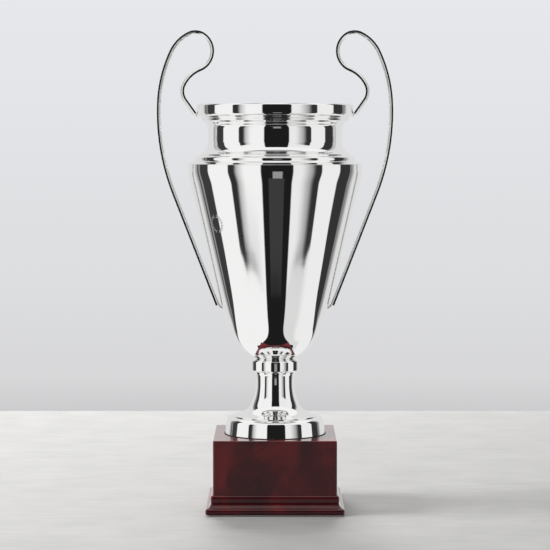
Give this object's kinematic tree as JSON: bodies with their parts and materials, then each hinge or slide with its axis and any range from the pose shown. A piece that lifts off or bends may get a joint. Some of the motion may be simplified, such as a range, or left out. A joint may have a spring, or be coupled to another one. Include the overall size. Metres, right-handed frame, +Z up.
{
  "type": "cup trophy",
  "caption": "Tall two-handled polished metal cup with a flared foot, clamped by a rod to a square lacquered wooden plinth.",
  "frame": {"origin": "centre of the whole trophy's box, at the underside of the felt, where the cup's axis meets the table", "axes": "+Z up along the cup's axis, +X towards the right handle, -Y towards the plinth's front face"},
  "size_m": [0.2352, 0.1744, 0.4762],
  "materials": {
    "cup_metal": "mirror-polished silver-coloured plate",
    "handle_metal": "polished half-round bar, plated",
    "solder": "plated over solder",
    "zinc_steel": "bright zinc",
    "lacquered_wood": "high-gloss red-brown lacquer with cloudy figure",
    "raw_wood": "bare softwood and fibreboard",
    "gasket_card": "dark matt",
    "felt": "needled felt"
  },
  "bodies": {
    "root": {"rim_band": "cup_metal", "neck": "cup_metal", "bowl": "cup_metal", "knop": "cup_metal", "stem": "cup_metal", "foot": "cup_metal", "foot_plate": "raw_wood", "foot_gasket": "gasket_card", "left_handle": "handle_metal", "right_handle": "handle_metal", "left_handle_solder": "solder", "right_handle_solder": "solder", "tie_rod": "zinc_steel", "bowl_nut": "cup_metal", "bowl_washer": "zinc_steel", "plinth_nut": "zinc_steel", "plinth_washer": "zinc_steel", "plinth_top": "lacquered_wood", "plinth_front": "lacquered_wood", "plinth_back": "lacquered_wood", "plinth_left": "lacquered_wood", "plinth_right": "lacquered_wood", "plinth_band": "lacquered_wood", "plinth_base": "lacquered_wood", "corner_blocks": "raw_wood", "base_screws": "zinc_steel", "felt_pad": "felt"}
  },
  "joints": []
}
